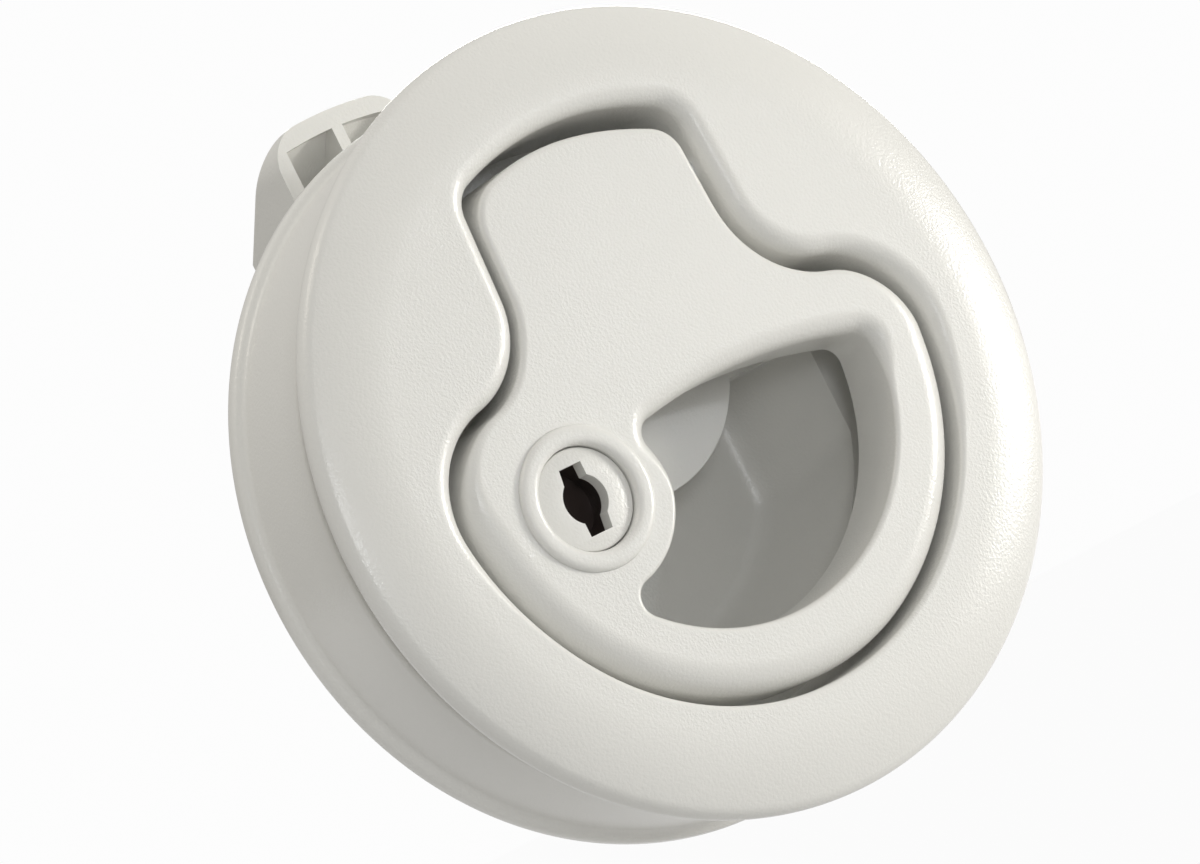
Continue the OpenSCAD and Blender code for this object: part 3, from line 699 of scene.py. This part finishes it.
def new_material(name):
    mat = bpy.data.materials.new(name)
    mat.use_nodes = True
    return mat, mat.node_tree.nodes, mat.node_tree.links


# surface of the mouldings: a fine grain, a slight sheen and clouds of a slightly darker tint
GRAIN = {"Scale": 4200, "Detail": 2}
GRAIN_BUMP = {"Strength": 0.5, "Distance": 0.00006}
CLOUD = {"Scale": 90, "Detail": 4}
CLOUD_SHADE = 0.965
SHEEN = {"Specular IOR Level": 0.5, "Coat Weight": 0.3, "Coat Roughness": 0.12}


def nylon(name, colour, roughness=0.34):
    """Moulded plastic with a fine spark-eroded grain."""
    mat, nodes, links = new_material(name)
    shader = put(nodes["Principled BSDF"], {"Roughness": roughness, **SHEEN})
    coords = nodes.new("ShaderNodeTexCoord")
    grain = add_node(nodes, "TexNoise", GRAIN)
    links.new(coords.outputs["Object"], grain.inputs["Vector"])
    bump = add_node(nodes, "Bump", GRAIN_BUMP)
    links.new(grain.outputs["Fac"], bump.inputs["Height"])
    links.new(bump.outputs["Normal"], shader.inputs["Normal"])
    links.new(bump.outputs["Normal"], shader.inputs["Coat Normal"])
    cloud = add_node(nodes, "TexNoise", CLOUD)
    links.new(coords.outputs["Object"], cloud.inputs["Vector"])
    tint = nodes.new("ShaderNodeMix")
    tint.data_type = "RGBA"
    put(tint, {"A": (*colour, 1), "B": (*[CLOUD_SHADE * c for c in colour], 1)})
    links.new(cloud.outputs["Fac"], tint.inputs["Factor"])
    links.new(tint.outputs["Result"], shader.inputs["Base Color"])
    return mat


def steel(name, colour, roughness):
    """Plain stainless steel with a slightly uneven polish."""
    mat, nodes, links = new_material(name)
    shader = put(nodes["Principled BSDF"], {"Base Color": (*colour, 1), "Metallic": 1})
    coords = nodes.new("ShaderNodeTexCoord")
    noise = add_node(nodes, "TexNoise", {"Scale": 900})
    links.new(coords.outputs["Object"], noise.inputs["Vector"])
    spread = add_node(nodes, "MapRange", {"To Min": roughness - 0.06, "To Max": roughness + 0.08})
    links.new(noise.outputs["Fac"], spread.inputs["Value"])
    links.new(spread.outputs["Result"], shader.inputs["Roughness"])
    return mat


WHITE = (1, 1, 1, 1)
WHITE_STRENGTH = 0.98
FLOOR_COLOUR = (0.5, 0.5, 0.5, 1)
# share of plain white on the floor that the camera sees, by the distance from the middle in metres
FLOOR_WHITE = {"From Min": 0.2, "From Max": 0.9, "To Min": 0.6, "To Max": 0.98}


def floor_material():
    """Matte floor, plain white to the camera far off and with the object's shadow near it."""
    mat, nodes, links = new_material("floor_white")
    matte = put(nodes["Principled BSDF"], {"Base Color": FLOOR_COLOUR, "Roughness": 0.9})
    white = add_node(nodes, "Emission", {"Color": WHITE, "Strength": WHITE_STRENGTH})
    coords = nodes.new("ShaderNodeTexCoord")
    distance = nodes.new("ShaderNodeVectorMath")
    distance.operation = "LENGTH"
    links.new(coords.outputs["Object"], distance.inputs[0])
    far = add_node(nodes, "MapRange", FLOOR_WHITE)
    links.new(distance.outputs["Value"], far.inputs["Value"])
    path = nodes.new("ShaderNodeLightPath")
    seen = nodes.new("ShaderNodeMath")
    seen.operation = "MAXIMUM"
    links.new(path.outputs["Is Camera Ray"], seen.inputs[0])
    links.new(path.outputs["Is Glossy Ray"], seen.inputs[1])
    share = nodes.new("ShaderNodeMath")
    share.operation = "MULTIPLY"
    links.new(seen.outputs["Value"], share.inputs[0])
    links.new(far.outputs["Result"], share.inputs[1])
    mix = nodes.new("ShaderNodeMixShader")
    links.new(share.outputs["Value"], mix.inputs["Fac"])
    links.new(matte.outputs["BSDF"], mix.inputs[1])
    links.new(white.outputs["Emission"], mix.inputs[2])
    links.new(mix.outputs["Shader"], nodes["Material Output"].inputs["Surface"])
    return mat


def area_light(name, position, target, size, power, colour):
    data = bpy.data.lights.new(name, "AREA")
    data.shape = "DISK"
    data.size = size
    data.energy = power
    data.color = colour
    obj = bpy.data.objects.new(name, data)
    bpy.context.scene.collection.objects.link(obj)
    obj.location = position
    obj.rotation_euler = (Vector(target) - Vector(position)).to_track_quat("-Z", "Y").to_euler()
    return obj


# the photograph's view, fitted to the bezel, the ring and the recess
VIEW_BACK = Vector((-0.54325, -0.83903, -0.03015))
VIEW_RIGHT = Vector((0.75851, -0.47508, -0.44605))
VIEW_UP = Vector((0.35993, -0.26518, 0.89450))
VIEW_DISTANCE = 0.4
VIEW_TARGET = Vector((0, -0.0016, 0))
FOCAL_PX = 5356.4
IMAGE_W, IMAGE_H = 1200, 864
TARGET_PX = (683.3, 405.3)


def build_camera():
    data = bpy.data.cameras.new("photo_camera")
    data.sensor_width = 36
    data.lens = FOCAL_PX / IMAGE_W * data.sensor_width
    data.shift_x = (IMAGE_W / 2 - TARGET_PX[0]) / IMAGE_W
    data.shift_y = (TARGET_PX[1] - IMAGE_H / 2) / IMAGE_W
    data.clip_start = 0.01
    data.clip_end = 50
    obj = bpy.data.objects.new("photo_camera", data)
    bpy.context.scene.collection.objects.link(obj)
    turn = Matrix((VIEW_RIGHT, VIEW_UP, VIEW_BACK)).transposed().to_4x4()
    obj.matrix_world = Matrix.Translation(VIEW_TARGET + VIEW_DISTANCE * VIEW_BACK) @ turn
    bpy.context.scene.camera = obj


def view_point(right, up, back):
    """A point given along the photograph's own directions, in metres."""
    return VIEW_TARGET + right * VIEW_RIGHT + up * VIEW_UP + back * VIEW_BACK


FLOOR_HALF = 4.0
FLOOR_Z = -0.16
AMBIENT_COLOUR = (1, 0.985, 0.95, 1)
# strength of the world by the height of its direction
AMBIENT = {"From Min": -0.2, "From Max": 1, "To Min": 0.13, "To Max": 0.84}
# lamps: name, place, width in metres, watts and colour
LAMPS = (
    ("key", view_point(0.46, 0.19, -0.02), 0.14, 1.4, (1, 0.975, 0.92)),
    ("front", view_point(0.05, 0.1, 0.48), 0.1, 0.3, (0.96, 0.98, 1)),
    ("glint", view_point(0.4, 0.228, 0.203), 0.025, 0.09, (0.92, 0.97, 1)),
    ("low_glint", view_point(0.47, 0.02, 0.17), 0.06, 0.3, (0.92, 0.97, 1)),
    ("left", view_point(-0.4, 0.35, 0.15), 0.2, 0.4, (1, 0.93, 0.82)),
    ("rear", Vector((0.42, 0.5, 0.2)), 0.3, 2.2, (1, 0.985, 0.95)),
)


def build_stage():
    mesh = bpy.data.meshes.new("floor")
    corners = [(-1, -1), (1, -1), (1, 1), (-1, 1)]
    mesh.from_pydata([(FLOOR_HALF * x, FLOOR_HALF * y, FLOOR_Z) for x, y in corners], [], [(0, 1, 2, 3)])
    floor = bpy.data.objects.new("floor", mesh)
    bpy.context.scene.collection.objects.link(floor)
    mesh.materials.append(floor_material())

    world = bpy.data.worlds.new("studio")
    bpy.context.scene.world = world
    world.use_nodes = True
    nodes, links = world.node_tree.nodes, world.node_tree.links
    ambient = put(nodes["Background"], {"Color": AMBIENT_COLOUR})
    coords = nodes.new("ShaderNodeTexCoord")
    height = nodes.new("ShaderNodeSeparateXYZ")
    links.new(coords.outputs["Generated"], height.inputs["Vector"])
    fade = add_node(nodes, "MapRange", AMBIENT)
    links.new(height.outputs["Z"], fade.inputs["Value"])
    links.new(fade.outputs["Result"], ambient.inputs["Strength"])
    white = add_node(nodes, "Background", {"Color": WHITE, "Strength": WHITE_STRENGTH})
    path = nodes.new("ShaderNodeLightPath")
    mix = nodes.new("ShaderNodeMixShader")
    links.new(path.outputs["Is Camera Ray"], mix.inputs["Fac"])
    links.new(ambient.outputs["Background"], mix.inputs[1])
    links.new(white.outputs["Background"], mix.inputs[2])
    links.new(mix.outputs["Shader"], nodes["World Output"].inputs["Surface"])

    for name, place, width, power, colour in LAMPS:
        area_light(name, place, VIEW_TARGET, width, power, colour)


def main():
    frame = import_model()
    bpy.context.scene.view_settings.view_transform = "Standard"

    shell = nylon("white_nylon", (0.79, 0.785, 0.755))
    # near-black painted shade for the walls of the keyhole and the room behind it, standing in for the shade
    # deep in the keyhole
    painted_keyhole_shade = nylon("keyhole_painted_shade", (0.05, 0.035, 0.03), 0.5)
    bright = steel("stainless", (0.72, 0.73, 0.75), 0.3)
    wire = steel("spring_wire", (0.6, 0.61, 0.64), 0.25)
    build_housing(shell)
    build_handle(shell)
    build_lock(shell, painted_keyhole_shade)
    build_ring(shell)
    build_bolt(shell)
    build_cover(shell)
    metal = {bright: ("cover_screws", "handle_pin", "lock_cam", "cam_screw"),
             wire: ("handle_spring", "bolt_spring_left", "bolt_spring_right")}
    for material, names in metal.items():
        for name in names:
            frame["nodes"][name].data.materials.clear()
            frame["nodes"][name].data.materials.append(material)

    build_stage()
    build_camera()


main()
